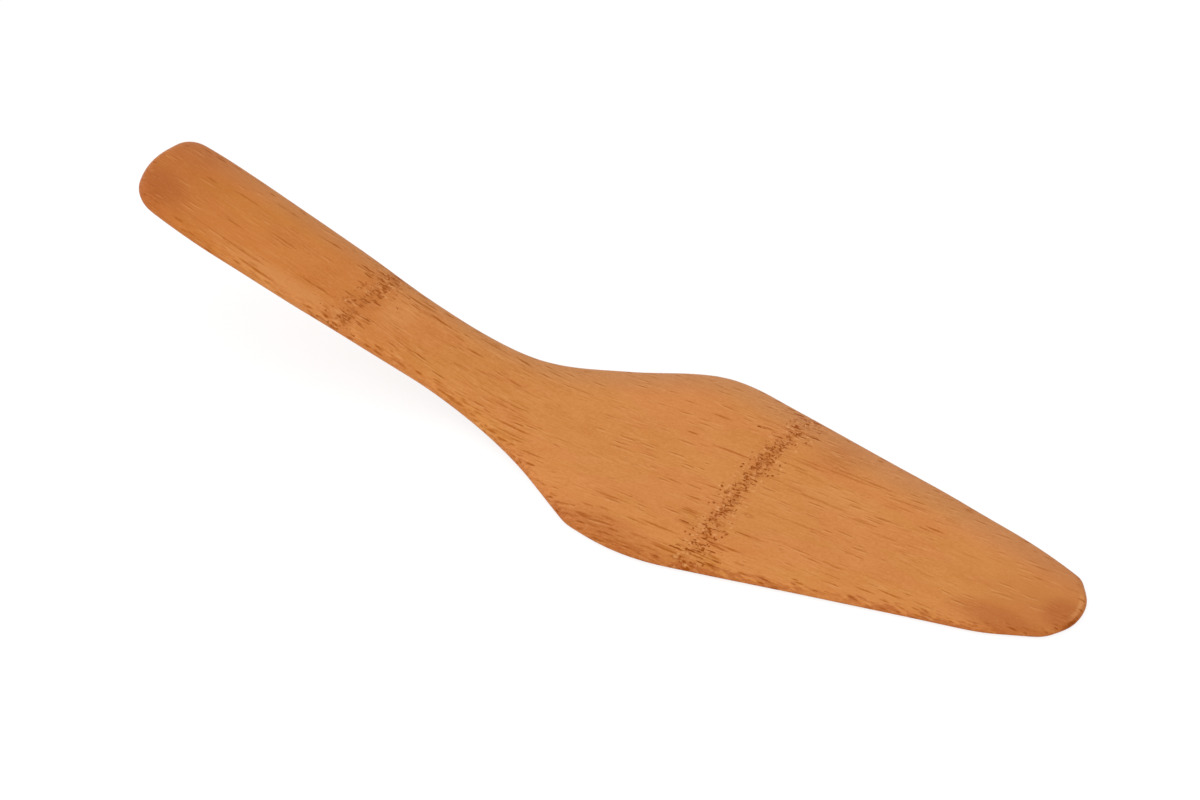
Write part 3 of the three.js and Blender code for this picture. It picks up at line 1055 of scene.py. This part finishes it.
# %% [markdown]
# ### Sheen and relief
#
# The oil leaves a satin sheen, soft and warm, and a little duller where the dark fibres stand open. Those
# lie a few hundredths of a millimetre low, so a Bump node presses in the dashes and the marks of the
# stem nodes, and lets the fine grain stand out. The single streaks are stain more than grooves, and
# Blender works out a bump's height several times over, so they are left out of it. Real displacement
# would need points a twentieth of a millimetre apart.

# %% Sheen and relief
SPECULAR_LEVEL = 0.2
SMOOTH, ROUGH = 0.40, 0.48
OPEN_FIBRES_ROUGHER = 0.12
RELIEF = 0.06
RELIEF_STRENGTH = 0.6
GRAIN_RELIEF = 0.5

principled.inputs["Specular IOR Level"].default_value = SPECULAR_LEVEL
principled.inputs["Specular Tint"].default_value = WARM_GLEAM
roughness = add_share(tree, fade(tree, fine_grain, 0.3, 0.7, SMOOTH, ROUGH),
                      strongest(tree, fibres, node_marks), OPEN_FIBRES_ROUGHER)
tree.links.new(roughness, principled.inputs["Roughness"])
pressed_in = strongest(tree, dash_fibres, node_marks)
height = add_share(tree, times(tree, fine_grain, GRAIN_RELIEF), pressed_in, -1.0)
bump = add_node(tree, "Bump", {"Height": height, "Distance": RELIEF * MM, "Strength": RELIEF_STRENGTH})
tree.links.new(bump.outputs["Normal"], principled.inputs["Normal"])
bamboo_spatula.data.materials.clear()
bamboo_spatula.data.materials.append(bamboo)
print("bamboo finish:", len(tree.nodes), "nodes")

# %% [markdown]
# ## Floor and background
#
# The photograph has a plain white ground. The floor is pale and really catches light, so it bounces some
# up under the handle and keeps a soft shadow. Only where the camera or a reflection looks at
# it, most of its own look is replaced by plain white. Raising the lamps until the floor clips would
# also make it white, but it would bleach the bamboo too.

# %% Floor
FLOOR_SIZE = 8.0
FLOOR_BOUNCE = 0.8
FLOOR_SHADOW = 0.24
FLOOR_WHITE = 0.82

floor = start_piece("pale_floor", bpy.ops.mesh.primitive_plane_add, size=FLOOR_SIZE)
floor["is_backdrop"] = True


def grey(level):
    return (level, level, level, 1.0)


def seen_straight(tree):
    """1 where the camera, a reflection or glass looks at the surface, 0 where it only bounces light."""
    path = add_node(tree, "LightPath").outputs
    return strongest(tree, path["Is Camera Ray"], path["Is Glossy Ray"], path["Is Transmission Ray"])


pale_floor = bpy.data.materials.new("pale_floor")
pale_floor.use_nodes = True
tree = pale_floor.node_tree
tree.nodes.remove(tree.nodes["Principled BSDF"])
bounced = add_node(tree, "BsdfDiffuse", {"Color": grey(FLOOR_BOUNCE)}).outputs[0]
shadowed = add_node(tree, "BsdfDiffuse", {"Color": grey(FLOOR_SHADOW)}).outputs[0]
white = add_node(tree, "Emission", {"Strength": FLOOR_WHITE}).outputs[0]
looked_at = add_node(tree, "AddShader", {0: shadowed, 1: white}).outputs[0]
either = add_node(tree, "MixShader", {0: seen_straight(tree), 1: bounced, 2: looked_at}).outputs[0]
tree.links.new(either, tree.nodes["Material Output"].inputs["Surface"])
floor.data.materials.append(pale_floor)
print("floor:", FLOOR_SIZE, "m")

# %% World
SKY_LEVEL = 0.78

studio = bpy.data.worlds.new("studio")
bpy.context.scene.world = studio
studio.use_nodes = True
tree = studio.node_tree
soft_sky = tree.nodes["Background"]
soft_sky.inputs["Color"].default_value = grey(SKY_LEVEL)
white_sky = add_node(tree, "Background", {"Color": grey(1.0)})
sockets = {0: seen_straight(tree), 1: soft_sky.outputs[0], 2: white_sky.outputs[0]}
either_sky = add_node(tree, "MixShader", sockets)
tree.links.new(either_sky.outputs[0], tree.nodes["World Output"].inputs["Surface"])
print("sky level", SKY_LEVEL)

# %% [markdown]
# ## Soft lamps
#
# Small goods are photographed between large soft boxes. One stands high on the left and a little behind,
# so the faces that look up are bright, the edges that look at the camera fall a little darker, and the
# far edges carry a thin pale sheen. A second one, lower and in front, opens up the dark sides. A
# brighter sky could do without them, but its light is flat and leaves no sheen.

# %% Lamps
LAMPS = {
    "soft_box_left": {"place": (-1.1, -0.1, 1.2), "size": 1.1, "power": 5.0},
    "soft_box_front": {"place": (0.3, -1.3, 0.6), "size": 1.0, "power": 4.0},
}
for lamp_name, lamp in LAMPS.items():
    lamp_data = bpy.data.lights.new(lamp_name, "AREA")
    lamp_data.size = lamp["size"]
    lamp_data.energy = lamp["power"]
    lamp_object = bpy.data.objects.new(lamp_name, lamp_data)
    bpy.context.scene.collection.objects.link(lamp_object)
    lamp_object.location = lamp["place"]
    lamp_object.rotation_euler = (-Vector(lamp["place"])).to_track_quat("-Z", "Y").to_euler()
bpy.context.scene.view_settings.view_transform = "Standard"
print(len(LAMPS), "lamps")

# %% Sizes of the imported part and the finer copy
visual_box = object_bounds()
sizes = {"cad": [[float(v) for v in corner] for corner in cad_box],
         "visual": [[float(v) for v in corner] for corner in visual_box]}
for name, (low, high) in sizes.items():
    print(name, [round((high[axis] - low[axis]) * 1000, 2) for axis in range(3)], "mm")
